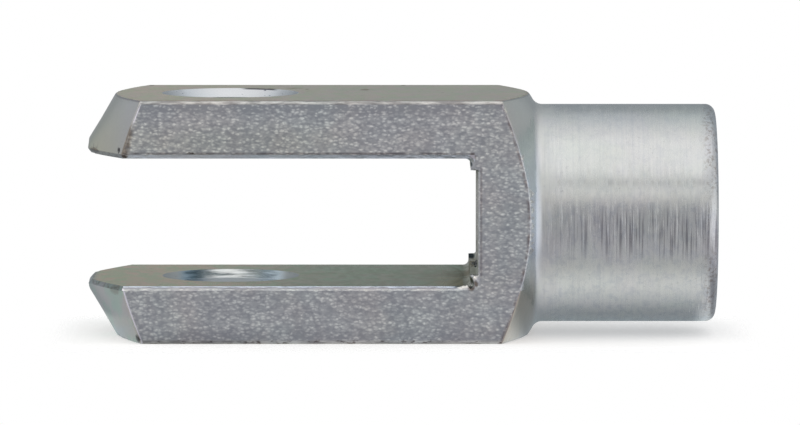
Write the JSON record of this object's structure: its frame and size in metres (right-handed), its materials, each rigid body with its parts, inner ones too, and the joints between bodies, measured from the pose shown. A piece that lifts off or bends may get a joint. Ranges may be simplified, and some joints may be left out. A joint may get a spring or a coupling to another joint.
{
  "type": "clevis rod end",
  "caption": "Square-bar clevis rod end: a slotted fork with a cross pin bore and a round shank with an internal thread for a rod.",
  "frame": {"origin": "centre of the pin bore, on the rod axis, midway between the two ears", "axes": "+X along the rod axis from the open fork to the shank's end face, +Z along the pin axis, Y across the slot; the lower ear's outer face is the rest face at z = -10 mm"},
  "size_m": [0.052, 0.02, 0.02],
  "materials": {
    "zinc_plated_steel": "satin, clear-passivated zinc"
  },
  "bodies": {
    "root": {"clevis_body": "zinc_plated_steel"}
  },
  "joints": []
}
